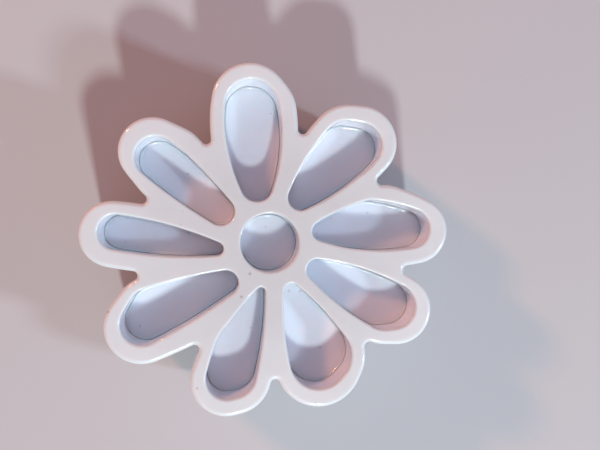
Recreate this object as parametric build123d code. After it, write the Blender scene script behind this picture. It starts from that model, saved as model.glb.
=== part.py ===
from build123d import *
import math
import os

# A flower shaped plunger cutter for rolled paste. It stands on its push button with the cutting face up.
# Lengths are in millimetres. The plunger's axis is Z, and Z is zero under the push button.
# Seen from above, X runs to the right and Y away from the reader.

# The stack of the cutter, from the table up
stroke = 6.0                 # travel of the plunger, and the depth of the pockets at rest
cover_recess = 0.5           # how far the cover sits inside the skirt
cover_thickness = 2.4
plate_thickness = 2.0
stop_gap = 0.1               # left above the plate when the button is fully pressed
pad_guide = 1.0              # how far the pads stay in their pockets at rest

# The flower seen from above
flower_width = 70.8          # across the west and east petals
width_share = 2.023          # the flower's width, in the unit of all shares here and below
centre_pocket_share = 0.16   # the radius of the middle pocket, and so on
hub_share = 0.43             # flat middle that the petals' roots run into
button_share = 0.457
spring_share = 0.2           # to the middle of the wire
boss_share = 0.045

# The cutter body
notch_round = 0.9            # where two petals meet
rim_round = 0.9
mouth_round = 0.45
skirt_round = 0.4
skirt_wall = 1.8
boss_margin = 1.0            # of the cover, between the button's hole and a screw's counterbore
boss_bearings = (30.0, 162.5, 272.5)   # in degrees, between two petals each

# The back cover
cover_ear_radius = 2.2       # round ears that reach between the petals, for the cover screws
cover_ring = 2.2             # least width of the cover around the button
cover_clearance = 0.1

# The ejector plate with its nine pads
plate_clearance = 0.5
pad_clearance = 0.06         # between a pad and its pocket's wall
pad_lip_height = 0.35        # of the thin lip around each pad, which dishes it
pad_lip_width = 0.1
pad_dish_round = 0.45        # between a pad's floor and its lip

# The push button
button_clearance = 0.3
button_wall = 1.8
button_floor = 4.2
button_round = 1.2
button_boss_radius = 1.9
button_lip = 2.0             # around the cap
cap_thickness = 1.2
cap_clearance = 0.1
cap_round = 0.2
socket_depth = 0.6           # the centre post stands in it
socket_clearance = 0.05

# The return spring and its washer
spring_wire = 0.9
spring_turns = 6
spring_clearance = 0.6       # around the coil
spring_groove_depth = 0.6
spring_groove_clearance = 0.2
washer_thickness = 0.6
washer_clearance = 0.15
collar_wall = 1.2
collar_height = 1.6

# The screws
screw_radius = 0.8
screw_clearance = 0.05
screw_head_radius = 1.5
screw_head_height = 1.2
screw_head_round = 0.4
screw_tip = 1.0              # length of the pointed end
screw_point_radius = 0.2
screw_end_gap = 0.5          # free depth past a screw's tip
counterbore_clearance = 0.15
cover_screw_bite = 4.8       # depth of each kind of screw in what it holds on to
plate_screw_bite = 2.5
post_screw_bite = 5.8
drive_width = 0.45
drive_depth = 0.7
drive_length = 1.8
drive_bearings = (0.0, 90.0)   # in degrees, the two arms of the cross recess

overrun = 0.5                # how far a cut runs past a face
same_place = 0.01            # corners or heights that differ by less than this count as one

# Heights worked out from the values above
skirt_low = stroke
cover_low = skirt_low + cover_recess
cover_top = cover_low + cover_thickness
plate_low = cover_top
plate_top = plate_low + plate_thickness
web_low = plate_top + stroke + stop_gap
pad_floor = web_low + pad_guide
pad_top = pad_floor + pad_lip_height
face_height = pad_floor + stroke
groove_top = web_low + spring_groove_depth
spring_low = button_floor + washer_thickness
post_low = button_floor - socket_depth
cover_screw_seat = cover_low + screw_head_height
cover_screw_length = cover_top - cover_screw_seat + cover_screw_bite
button_screw_seat = cap_thickness + screw_head_height
plate_screw_length = plate_low - button_screw_seat + plate_screw_bite
post_screw_length = post_low - button_screw_seat + post_screw_bite

# Radii worked out from the values above
share_unit = flower_width / width_share
centre_pocket_radius = centre_pocket_share * share_unit
post_radius = centre_pocket_radius - pad_clearance
hub_radius = hub_share * share_unit
button_radius = button_share * share_unit
cap_radius = button_radius - button_lip
hollow_radius = button_radius + button_clearance + cover_ring
spring_radius = spring_share * share_unit
groove_half_width = spring_wire / 2 + spring_groove_clearance
plate_opening_radius = spring_radius + spring_wire / 2 + spring_clearance
washer_radius = plate_opening_radius
collar_inner_radius = washer_radius + washer_clearance
screw_hole_radius = screw_radius + screw_clearance
counterbore_radius = screw_head_radius + counterbore_clearance
boss_radius = boss_share * share_unit
boss_reach = button_radius + button_clearance + boss_margin + counterbore_radius

# Each petal has two outlines, its pocket and its rim. Each outline is a chain of circles, anticlockwise from
# the petal's root, joined by gentle side arcs. The rims are uneven, as those of the real cutter are.
# All values are shares, as above: the radius of the side arcs, then x, y and radius of the pocket's circles
# and of the rim's circles.
petal_shares = {
    "north": (
        0.97,
        [(-0.071, 0.314, 0.089), (-0.086, 0.629, 0.153), (-0.097, 0.746, 0.147)],
        [(-0.071, 0.314, 0.171), (-0.080, 0.717, 0.230), (-0.103, 0.771, 0.214), (-0.094, 0.709, 0.231)],
    ),
    "northwest": (
        2.86,
        [(-0.269, 0.174, 0.077), (-0.529, 0.403, 0.111), (-0.606, 0.457, 0.113)],
        [(-0.269, 0.174, 0.159), (-0.537, 0.434, 0.201), (-0.623, 0.491, 0.184), (-0.534, 0.409, 0.203)],
    ),
    "west": (
        2.0,
        [(-0.289, -0.031, 0.037), (-0.814, 0.060, 0.094)],
        [(-0.289, -0.029, 0.129), (-0.831, 0.049, 0.177)],
    ),
    "southwest": (
        2.86,
        [(-0.240, -0.217, 0.069), (-0.634, -0.360, 0.123), (-0.677, -0.426, 0.117)],
        [(-0.240, -0.217, 0.150), (-0.623, -0.384, 0.211), (-0.679, -0.443, 0.201), (-0.446, -0.373, 0.174)],
    ),
    "south_left": (
        2.0,
        [(-0.049, -0.269, 0.026), (-0.200, -0.566, 0.097), (-0.229, -0.731, 0.117), (-0.197, -0.717, 0.123)],
        [(-0.049, -0.269, 0.107), (-0.194, -0.566, 0.164), (-0.229, -0.741, 0.201), (-0.197, -0.729, 0.206)],
    ),
    "south_right": (
        1.43,
        [(0.120, -0.263, 0.040), (0.274, -0.646, 0.164), (0.291, -0.626, 0.166)],
        [(0.120, -0.263, 0.121), (0.277, -0.667, 0.244), (0.289, -0.629, 0.249)],
    ),
    "southeast": (
        1.43,
        [(0.263, -0.151, 0.060), (0.649, -0.343, 0.149), (0.700, -0.360, 0.127)],
        [(0.263, -0.151, 0.141), (0.651, -0.344, 0.231), (0.720, -0.379, 0.199)],
    ),
    "east": (
        1.14,
        [(0.289, 0.063, 0.054), (0.800, 0.079, 0.111), (0.580, 0.089, 0.150)],
        [(0.289, 0.063, 0.136), (0.826, 0.067, 0.189), (0.651, 0.097, 0.227)],
    ),
    "northeast": (
        1.29,
        [(0.171, 0.249, 0.071), (0.509, 0.546, 0.124), (0.434, 0.537, 0.143)],
        [(0.171, 0.249, 0.153), (0.513, 0.561, 0.207), (0.446, 0.544, 0.229)],
    ),
}
# The plate screws go up into the roots of these pads, this far along from the first circle to the second.
plate_screw_petals = ("north", "southwest", "southeast")
plate_screw_share = 0.04


def in_real_size(circle_shares):
    return [tuple(share * share_unit for share in circle) for circle in circle_shares]


def side_centre(first, second, side_radius):
    """Centre of the side arc that runs from the first circle to the second and touches both from outside."""
    reach_first = side_radius - first[2]
    reach_second = side_radius - second[2]
    step = Vector(second[0] - first[0], second[1] - first[1])
    along = (reach_first**2 - reach_second**2 + step.length**2) / (2 * step.length)
    across = math.sqrt(reach_first**2 - along**2)
    forward = step.normalized()
    left = Vector(-forward.Y, forward.X)
    return Vector(first[0], first[1]) + forward * along + left * across


def arc_between(centre, radius, start_angle, end_angle):
    """An anticlockwise arc about a centre, between two angles in degrees."""
    turn = (end_angle - start_angle) % 360
    corners = [start_angle, start_angle + turn / 2, start_angle + turn]
    return ThreePointArc(*[centre + Vector(radius, 0).rotate(Axis.Z, angle) for angle in corners])


def chain_face(circles, side_radius, grow):
    """A flat outline of circles joined by side arcs, grown outward by a length on every side."""
    followers = circles[1:] + circles[:1]
    sides = [side_centre(a, b, side_radius) for a, b in zip(circles, followers)]
    edges = []
    for i, circle in enumerate(circles):
        centre = Vector(circle[0], circle[1])
        follower = Vector(followers[i][0], followers[i][1])
        came_from = angle_of(centre - sides[i - 1])
        goes_to = angle_of(centre - sides[i])
        edges.append(arc_between(centre, circle[2] + grow, came_from, goes_to))
        edges.append(arc_between(sides[i], side_radius + grow, goes_to, angle_of(follower - sides[i])))
    return make_face(Wire(edges))


def pocket_face(name, grow=0):
    side_share, pocket_circles, _ = petal_shares[name]
    return chain_face(in_real_size(pocket_circles), side_share * share_unit, grow)


def rim_face(name, grow=0):
    side_share, _, rim_circles = petal_shares[name]
    return chain_face(in_real_size(rim_circles), side_share * share_unit, grow)


def angle_of(direction):
    """The angle of a flat direction in degrees, from X."""
    return math.degrees(math.atan2(direction.Y, direction.X))


def slab(outline, low, high):
    """A flat outline made solid between two heights."""
    return extrude(Pos(0, 0, low) * outline, amount=high - low, dir=(0, 0, 1))


def disc(radius, low, high, place=(0, 0)):
    """A round solid between two heights."""
    at = Pos(place[0], place[1], low)
    return at * Cylinder(radius, high - low, align=(Align.CENTER, Align.CENTER, Align.MIN))


def edges_at(shape, height):
    """The edges that lie flat at one height."""
    return shape.edges().filter_by_position(Axis.Z, height - same_place, height + same_place)


def flower():
    """The hub and the nine rims as one solid, with a rounded notch between each two petals."""
    rims = [rim_face(name) for name in petal_shares]
    body = slab(Circle(hub_radius) + rims, skirt_low, face_height)
    joints = [joint.center() for rim in rims for joint in rim.vertices()]
    notches = []
    for edge in body.edges().filter_by(Axis.Z):
        place = Vector(edge.center().X, edge.center().Y)
        if min((place - joint).length for joint in joints) > same_place:
            notches.append(edge)
    return fillet(notches, notch_round)


def cover_face(grow=0):
    """The flat outline of the cover's seat: nine petals, the round middle and an ear at each screw."""
    outline = Circle(hollow_radius + grow) + [rim_face(name, grow - skirt_wall) for name in petal_shares]
    return outline + [Pos(*place) * Circle(cover_ear_radius + grow) for place in cover_screw_places()]


def cover_screw_places():
    places = [Vector(boss_reach, 0).rotate(Axis.Z, bearing) for bearing in boss_bearings]
    return [(place.X, place.Y) for place in places]


def plate_screw_places():
    places = []
    for name in plate_screw_petals:
        root, second = in_real_size(petal_shares[name][1][:2])
        places.append([root[k] + plate_screw_share * (second[k] - root[k]) for k in (0, 1)])
    return places


def screw(place, seat, length):
    """A pan head screw that points up from its seat, with a cross recess in its head."""
    head = disc(screw_head_radius, seat - screw_head_height, seat, place)
    head = fillet(edges_at(head, seat - screw_head_height), screw_head_round)
    shank = disc(screw_radius, seat, seat + length - screw_tip, place)
    tip_low = Pos(place[0], place[1], seat + length - screw_tip)
    stands = (Align.CENTER, Align.CENTER, Align.MIN)
    tip = tip_low * Cone(screw_radius, screw_point_radius, screw_tip, align=stands)
    body = head + shank + tip
    for turn in drive_bearings:
        slot = Box(drive_length, drive_width, drive_depth, align=stands)
        body -= Pos(place[0], place[1], seat - screw_head_height) * Rot(0, 0, turn) * slot
    return body


def cutter_body():
    """The moulded cutter: a flower of rounded rims and webs around ten pockets, with a skirt behind it."""
    body = flower()
    body = fillet(edges_at(body, face_height), rim_round)
    body = fillet(edges_at(body, skirt_low), skirt_round)
    # Behind the webs the body is open for the ejector plate, and wider still where the cover sits.
    body -= disc(hollow_radius, skirt_low - overrun, web_low)
    for name in petal_shares:
        body -= slab(rim_face(name, -skirt_wall), skirt_low - overrun, web_low)
    body -= slab(cover_face(), skirt_low - overrun, cover_top)
    for place in cover_screw_places():
        body += disc(boss_radius, cover_top, web_low, place)
        hole_top = cover_screw_seat + cover_screw_length + screw_end_gap
        body -= disc(screw_hole_radius, cover_top - overrun, hole_top, place)
    # The pockets run through the webs.
    for name in petal_shares:
        body -= slab(pocket_face(name), web_low - overrun, face_height + overrun)
    body -= disc(centre_pocket_radius, web_low - overrun, face_height + overrun)
    groove = Circle(spring_radius + groove_half_width) - Circle(spring_radius - groove_half_width)
    body -= slab(groove, web_low - overrun, groove_top)
    face = body.faces().sort_by(Axis.Z)[-1]
    return fillet([edge for mouth in face.inner_wires() for edge in mouth.edges()], mouth_round)


def back_cover():
    """The flower shaped cover that closes the skirt, with a round hole that guides the push button."""
    cover = slab(cover_face(-cover_clearance), cover_low, cover_top)
    cover -= disc(button_radius + button_clearance, cover_low - overrun, cover_top + overrun)
    for place in cover_screw_places():
        cover -= disc(screw_hole_radius, cover_low - overrun, cover_top + overrun, place)
        cover -= disc(counterbore_radius, cover_low - overrun, cover_screw_seat, place)
    return cover


def cover_screws():
    return Compound([screw(place, cover_screw_seat, cover_screw_length) for place in cover_screw_places()])


def dish(outline):
    """The hollow that is cut from a pad's top, with a rounded foot."""
    hollow = slab(outline, pad_floor, pad_top + overrun)
    return fillet(edges_at(hollow, pad_floor), pad_dish_round)


def ejector_plate():
    """The plate that carries one pad for each petal, open in the middle for the spring."""
    plate = disc(hollow_radius - plate_clearance, plate_low, plate_top)
    for name in petal_shares:
        plate += slab(rim_face(name, -skirt_wall - plate_clearance), plate_low, plate_top)
    for place in cover_screw_places():
        plate -= disc(boss_radius + plate_clearance, plate_low - overrun, plate_top + overrun, place)
    for name in petal_shares:
        pad = slab(pocket_face(name, -pad_clearance), plate_top, pad_top)
        plate += pad - dish(pocket_face(name, -pad_clearance - pad_lip_width))
    plate -= disc(plate_opening_radius, plate_low - overrun, plate_top + overrun)
    for place in plate_screw_places():
        hole_top = button_screw_seat + plate_screw_length + screw_end_gap
        plate -= disc(screw_hole_radius, plate_low - overrun, hole_top, place)
    return plate


def centre_pad():
    """The round pad of the middle pocket, on a post that stands in the push button."""
    pad = disc(post_radius, post_low, pad_top)
    pad -= dish(Circle(post_radius - pad_lip_width))
    hole_top = button_screw_seat + post_screw_length + screw_end_gap
    return pad - disc(screw_hole_radius, post_low - overrun, hole_top)


def press_button():
    """The round button: a cup that holds the spring, with bosses for the plate screws."""
    button = disc(button_radius, 0, plate_low)
    button = fillet(edges_at(button, 0), button_round)
    button -= disc(button_radius - button_wall, button_floor, plate_low + overrun)
    collar = disc(collar_inner_radius + collar_wall, button_floor, button_floor + collar_height)
    button += collar - disc(collar_inner_radius, button_floor, button_floor + collar_height)
    button -= disc(cap_radius + cap_clearance, -overrun, cap_thickness)
    button -= disc(post_radius + socket_clearance, post_low, button_floor + overrun)
    for place in plate_screw_places():
        button += disc(button_boss_radius, button_floor, plate_low, place)
    for place in plate_screw_places() + [(0, 0)]:
        button -= disc(screw_hole_radius, cap_thickness - overrun, plate_low + overrun, place)
        button -= disc(counterbore_radius, cap_thickness - overrun, button_screw_seat, place)
    return button


def button_cap():
    """The flush disc that hides the screws under the button."""
    cap = disc(cap_radius, 0, cap_thickness)
    return fillet(edges_at(cap, 0), cap_round)


def plate_screws():
    return Compound([screw(place, button_screw_seat, plate_screw_length) for place in plate_screw_places()])


def post_screw():
    return screw((0, 0), button_screw_seat, post_screw_length)


def spring_washer():
    washer = disc(washer_radius, button_floor, spring_low)
    return washer - disc(post_radius + washer_clearance, button_floor - overrun, spring_low + overrun)


def return_spring():
    """The coil around the centre post, ground flat at both ends."""
    height = groove_top - spring_low
    coil = Pos(0, 0, spring_low) * Helix(height / spring_turns, height, spring_radius)
    start = Plane(origin=coil @ 0, z_dir=coil % 0)
    wire = sweep(start * Circle(spring_wire / 2), path=coil, is_frenet=True)
    return wire & disc(spring_radius + spring_wire, spring_low, groove_top)


pieces = {
    "cutter_body": cutter_body,
    "back_cover": back_cover,
    "cover_screws": cover_screws,
    "ejector_plate": ejector_plate,
    "centre_pad": centre_pad,
    "press_button": press_button,
    "button_cap": button_cap,
    "plate_screws": plate_screws,
    "post_screw": post_screw,
    "spring_washer": spring_washer,
    "return_spring": return_spring,
}

os.makedirs("parts", exist_ok=True)
for node, make in pieces.items():
    export_step(make(), f"parts/{node}.step")
turn_gap = (groove_top - spring_low) / spring_turns - spring_wire
print("turns of the spring lie", round(turn_gap, 2), "mm apart")
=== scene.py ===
import math

import bpy
from mathutils import Matrix, Vector


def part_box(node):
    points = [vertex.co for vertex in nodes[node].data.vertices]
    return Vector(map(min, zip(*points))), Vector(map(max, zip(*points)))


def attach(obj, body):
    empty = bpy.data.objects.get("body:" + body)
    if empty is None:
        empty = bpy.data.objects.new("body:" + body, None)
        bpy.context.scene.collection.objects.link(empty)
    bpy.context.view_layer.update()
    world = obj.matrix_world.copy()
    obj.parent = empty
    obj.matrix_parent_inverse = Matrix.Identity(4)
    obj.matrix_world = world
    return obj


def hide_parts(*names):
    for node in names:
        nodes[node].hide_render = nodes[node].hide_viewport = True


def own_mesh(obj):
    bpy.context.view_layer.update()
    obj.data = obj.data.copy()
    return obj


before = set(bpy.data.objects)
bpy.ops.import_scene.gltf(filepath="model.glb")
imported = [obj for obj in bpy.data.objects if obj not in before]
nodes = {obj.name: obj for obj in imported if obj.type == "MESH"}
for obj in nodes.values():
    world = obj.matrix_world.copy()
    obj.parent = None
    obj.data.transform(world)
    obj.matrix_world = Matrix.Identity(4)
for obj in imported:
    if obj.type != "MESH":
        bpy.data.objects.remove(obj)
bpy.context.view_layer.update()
MM = 0.001

# Studio. A plain pale floor that the cutter stands on, and a camera that looks down on the cutting face
# from a hand's width above it, tilted a little to the right. Three soft lamps and a pale violet sky light
# it: a key in front, a cooler fill on the right, and a warm fill behind on the left.
bpy.context.scene.view_settings.view_transform = "Standard"

floor_size = 1.6
bpy.ops.mesh.primitive_plane_add(size=floor_size)
floor = bpy.context.object
floor.name = "floor"
floor_paint = bpy.data.materials.new("pale floor")
floor_paint.use_nodes = True
floor_shader = floor_paint.node_tree.nodes["Principled BSDF"]
floor_shader.inputs["Base Color"].default_value = (0.50, 0.49, 0.48, 1)
floor_shader.inputs["Roughness"].default_value = 0.8
floor.data.materials.append(floor_paint)

camera_data = bpy.data.cameras.new("camera")
camera = bpy.data.objects.new("camera", camera_data)
bpy.context.scene.collection.objects.link(camera)
camera.location = (-7.57 * MM, 3.24 * MM, 126 * MM)
camera.rotation_euler = (math.radians(0.1), math.radians(-7.45), 0)
camera_data.sensor_width = 36
camera_data.lens = 32.1
camera_data.clip_start = 0.005
bpy.context.scene.camera = camera

lamp_distance = 0.9
lamp_target = Vector((0, 0, 20 * MM))


def soft_lamp(name, bearing, elevation, size, power, colour):
    """A square studio lamp that points at the middle of the cutting face. Bearing is in degrees from +X."""
    lamp_data = bpy.data.lights.new(name, "AREA")
    lamp_data.size = size
    lamp_data.energy = power
    lamp_data.color = colour
    lamp = bpy.data.objects.new(name, lamp_data)
    bpy.context.scene.collection.objects.link(lamp)
    turn, rise = math.radians(bearing), math.radians(elevation)
    way = Vector((math.cos(turn) * math.cos(rise), math.sin(turn) * math.cos(rise), math.sin(rise)))
    lamp.location = lamp_target + way * lamp_distance
    lamp.rotation_euler = way.to_track_quat("Z", "Y").to_euler()


soft_lamp("key lamp", bearing=-82, elevation=38, size=0.06, power=5.6, colour=(0.88, 0.98, 1.0))
soft_lamp("cool fill lamp", bearing=-20, elevation=32, size=0.08, power=3.6, colour=(0.66, 0.82, 1.0))
soft_lamp("warm fill lamp", bearing=141, elevation=27, size=0.08, power=3.9, colour=(1.0, 0.40, 0.22))

world = bpy.data.worlds.new("studio")
bpy.context.scene.world = world
world.use_nodes = True
sky = world.node_tree.nodes["Background"]
sky.inputs["Color"].default_value = (0.92, 0.77, 1.0, 1)
sky.inputs["Strength"].default_value = 0.335


# Cutter body. One glossy white moulding: a flower of nine uneven petals with a pocket in each, soft rims, and
# a skirt behind. The plastic is slightly translucent. Below the face its colour is painted lighter and cooler
# than on it, as painted cool light in the pockets, and the rims are painted lighter towards their outer ends
# as a painted sheen. Its skin is a little uneven, and a few specks sit in it.
def white_plastic(name, face_colour, painted_light_deep_colour, roughness, glow, tip_sheen, specks):
    """Glossy moulded plastic. It turns from the deep colour to the face colour just below the cutting face.
    Where the deep colour is lighter and cooler than the face, that is painted light standing in for cool
    light in the pockets.

    Glow is the share of the light that goes into it, tip_sheen is how much lighter it is painted far from the
    axis, as a painted sheen, and specks is how dark its flecks are.
    """
    face_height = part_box("cutter_body")[1].z
    deep_edge, face_edge = face_height - 1.3 * MM, face_height - 0.8 * MM
    root_reach, tip_reach = 14 * MM, 32 * MM
    speck_colour = (0.16, 0.12, 0.10, 1)

    paint = bpy.data.materials.new(name)
    paint.use_nodes = True
    tree = paint.node_tree
    shader = tree.nodes["Principled BSDF"]
    shader.inputs["Roughness"].default_value = roughness
    shader.inputs["Subsurface Weight"].default_value = glow
    shader.inputs["Subsurface Radius"].default_value = (1.0, 0.70, 0.65)
    shader.inputs["Subsurface Scale"].default_value = 1.4 * MM
    shader.inputs["Coat Weight"].default_value = 0.8
    shader.inputs["Coat Roughness"].default_value = 0.09

    def add(kind, **sockets):
        node = tree.nodes.new("ShaderNode" + kind)
        for socket, value in sockets.items():
            node.inputs[socket.replace("_", " ")].default_value = value
        return node

    def link(source, output, target, socket):
        tree.links.new(source.outputs[output], target.inputs[socket])

    place = add("TexCoord")

    # The colour turns with the height, painted lighter and cooler below the face as painted cool light, and
    # gets lighter towards the petals' outer ends as a painted sheen.
    parts = add("SeparateXYZ")
    link(place, "Object", parts, "Vector")
    # Painted light: below the cutting face the colour is painted lighter and cooler, standing in for cool
    # light in the pockets.
    height = add("MapRange", From_Min=deep_edge, From_Max=face_edge)
    link(parts, "Z", height, "Value")
    turn = add("Mix")
    turn.data_type = "RGBA"
    turn.inputs["A"].default_value = (*painted_light_deep_colour, 1)
    turn.inputs["B"].default_value = (*face_colour, 1)
    link(height, "Result", turn, "Factor")
    flat = add("VectorMath")
    flat.operation = "MULTIPLY"
    flat.inputs[1].default_value = (1, 1, 0)
    link(place, "Object", flat, 0)
    reach = add("VectorMath")
    reach.operation = "LENGTH"
    link(flat, "Vector", reach, 0)
    # Painted sheen: the colour is painted lighter away from the axis, standing in for the brighter shine on
    # the rims.
    tip_sheen_lift = add("MapRange", From_Min=root_reach, From_Max=tip_reach, To_Min=1.0, To_Max=1.0 + tip_sheen)
    link(reach, "Value", tip_sheen_lift, "Value")

    # Cloudy patches from the moulding, and small dark flecks.
    cloud = add("TexNoise", Scale=60, Detail=3)
    link(place, "Object", cloud, "Vector")
    patches = add("MapRange", From_Min=0.35, From_Max=0.65, To_Min=0.955, To_Max=1.0)
    link(cloud, "Fac", patches, "Value")
    both = add("Math")
    both.operation = "MULTIPLY"
    link(tip_sheen_lift, "Result", both, 0)
    link(patches, "Result", both, 1)
    lighter = add("VectorMath")
    lighter.operation = "SCALE"
    link(turn, "Result", lighter, 0)
    link(both, "Value", lighter, "Scale")
    grit = add("TexVoronoi", Scale=230)
    link(place, "Object", grit, "Vector")
    speck = add("MapRange", From_Min=0.05, From_Max=0.08, To_Min=specks, To_Max=0)
    link(grit, "Distance", speck, "Value")
    dirty = add("Mix")
    dirty.data_type = "RGBA"
    dirty.inputs["B"].default_value = speck_colour
    link(speck, "Result", dirty, "Factor")
    link(lighter, "Vector", dirty, "A")
    link(dirty, "Result", shader, "Base Color")

    # The skin is finely grained and slightly wavy, and the gloss on it breaks up at shallow dents.
    skin = add("TexNoise", Scale=900, Detail=2)
    link(place, "Object", skin, "Vector")
    swell = add("TexNoise", Scale=150, Detail=3)
    link(place, "Object", swell, "Vector")
    dents = add("TexNoise", Scale=420, Detail=3)
    link(place, "Object", dents, "Vector")
    broad = add("Bump", Strength=0.6, Distance=0.25 * MM)
    link(swell, "Fac", broad, "Height")
    fine = add("Bump", Strength=0.25, Distance=0.02 * MM)
    link(skin, "Fac", fine, "Height")
    link(broad, "Normal", fine, "Normal")
    link(fine, "Normal", shader, "Normal")
    gloss = add("Bump", Strength=0.6, Distance=0.25 * MM)
    link(dents, "Fac", gloss, "Height")
    link(broad, "Normal", gloss, "Normal")
    link(gloss, "Normal", shader, "Coat Normal")
    return paint


def paint_node(node, paint):
    nodes[node].data.materials.clear()
    nodes[node].data.materials.append(paint)


# Painted light: the deep colour below the face is painted lighter and bluer than the face, as cool light in
# the pockets, and the rims are painted lighter towards their outer ends as a painted sheen.
body_plastic = white_plastic(
    "glossy white plastic",
    face_colour=(0.65, 0.68, 0.665),
    painted_light_deep_colour=(0.72, 0.75, 0.80),
    roughness=0.45,
    glow=0.60,
    tip_sheen=0.10,
    specks=0.4,
)
paint_node("cutter_body", body_plastic)

# Ejector plate and centre pad. The nine petal pads are moulded in one with their plate, and the round one in
# the middle with its post. Both are more translucent, and slide up through the pockets. Their colour is
# painted lighter and cooler than the body's face, as painted cool light on the pocket floors.
# Painted light: this white is lighter and bluer than the body's face, standing in for cool light on the
# pocket floors.
painted_light_pad_white = (0.77, 0.80, 0.85)
pad_plastic = white_plastic(
    "pad white with painted pocket light",
    face_colour=painted_light_pad_white,
    painted_light_deep_colour=painted_light_pad_white,
    roughness=0.45,
    glow=0.80,
    tip_sheen=0,
    specks=0.25,
)
for node in ("ejector_plate", "centre_pad"):
    paint_node(node, pad_plastic)

# Back cover, push button and cap. Plain satin mouldings on the underside: the cover is screwed into the
# skirt, the button slides in its round hole, and the cap is pressed in flush over the button's screws.
satin_white = (0.66, 0.66, 0.70)
back_plastic = white_plastic(
    "satin white plastic",
    face_colour=satin_white,
    painted_light_deep_colour=satin_white,
    roughness=0.42,
    glow=0.2,
    tip_sheen=0,
    specks=0.4,
)
for node in ("back_cover", "press_button", "button_cap"):
    paint_node(node, back_plastic)


# Screws and washer. The seven screws are zinc plated steel with a cross recess, driven into plain bosses. The
# washer is a flat steel ring that lies in the button's collar, under the spring.
def steel(name, colour, roughness):
    """Bare or plated steel with a fine grain, darker in its low spots."""
    low_spots = 0.8
    paint = bpy.data.materials.new(name)
    paint.use_nodes = True
    tree = paint.node_tree
    shader = tree.nodes["Principled BSDF"]
    shader.inputs["Metallic"].default_value = 1
    shader.inputs["Roughness"].default_value = roughness
    place = tree.nodes.new("ShaderNodeTexCoord")
    grain = tree.nodes.new("ShaderNodeTexNoise")
    grain.inputs["Scale"].default_value = 1500
    tree.links.new(place.outputs["Object"], grain.inputs["Vector"])
    tint = tree.nodes.new("ShaderNodeValToRGB")
    tint.color_ramp.elements[0].color = (*[c * low_spots for c in colour], 1)
    tint.color_ramp.elements[1].color = (*colour, 1)
    tree.links.new(grain.outputs["Fac"], tint.inputs["Fac"])
    tree.links.new(tint.outputs["Color"], shader.inputs["Base Color"])
    return paint


zinc = steel("zinc plate", colour=(0.62, 0.63, 0.66), roughness=0.35)
for node in ("cover_screws", "plate_screws", "post_screw", "spring_washer"):
    paint_node(node, zinc)

# Return spring. A coil of drawn steel wire around the centre post, ground flat at both ends. Its top end sits
# in a groove behind the webs and its foot stands on the washer. In use it gets shorter as the button is
# pressed;
# here it is built to the length of the return_spring part and carried by the cutter body.
wire_radius = 0.45 * MM
coil_radius = 7.0 * MM
turns = 6
wire_sides = 20
steps_per_turn = 64
spring_low, spring_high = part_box("return_spring")
spring_height = spring_high.z - spring_low.z

# The wire's round section is wound up around the axis, closed, and cut off level at both ends.
bpy.ops.object.select_all(action="DESELECT")
bpy.ops.mesh.primitive_circle_add(
    vertices=wire_sides, radius=wire_radius, rotation=(math.pi / 2, 0, 0), location=(coil_radius, 0, 0)
)
spring = bpy.context.object
bpy.ops.object.transform_apply(location=True, rotation=True, scale=True)
wind = spring.modifiers.new("wind", "SCREW")
wind.axis = "Z"
wind.steps = wind.render_steps = steps_per_turn
wind.screw_offset = spring_height / turns
wind.iterations = turns
wind.use_merge_vertices = True
bpy.ops.object.modifier_apply(modifier=wind.name)
spring.data.transform(Matrix.Translation((0, 0, spring_low.z)))
bpy.ops.object.mode_set(mode="EDIT")
bpy.ops.mesh.select_all(action="SELECT")
bpy.ops.mesh.remove_doubles(threshold=0.001 * MM)
bpy.ops.mesh.select_all(action="DESELECT")
bpy.ops.mesh.select_mode(type="EDGE")
bpy.ops.mesh.select_non_manifold()
bpy.ops.mesh.fill_holes(sides=0)
for height, below in ((spring_low.z, True), (spring_high.z, False)):
    bpy.ops.mesh.select_all(action="SELECT")
    bpy.ops.mesh.bisect(
        plane_co=(0, 0, height), plane_no=(0, 0, 1), use_fill=True, clear_inner=below, clear_outer=not below
    )
bpy.ops.mesh.select_all(action="SELECT")
bpy.ops.mesh.normals_make_consistent(inside=False)
bpy.ops.object.mode_set(mode="OBJECT")
bpy.ops.object.shade_smooth_by_angle(angle=math.radians(40))
spring.name = "spring_coil"
spring.data.materials.append(steel("drawn wire", colour=(0.56, 0.57, 0.60), roughness=0.3))

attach(spring, "cutter")
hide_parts("return_spring")
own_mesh(spring)
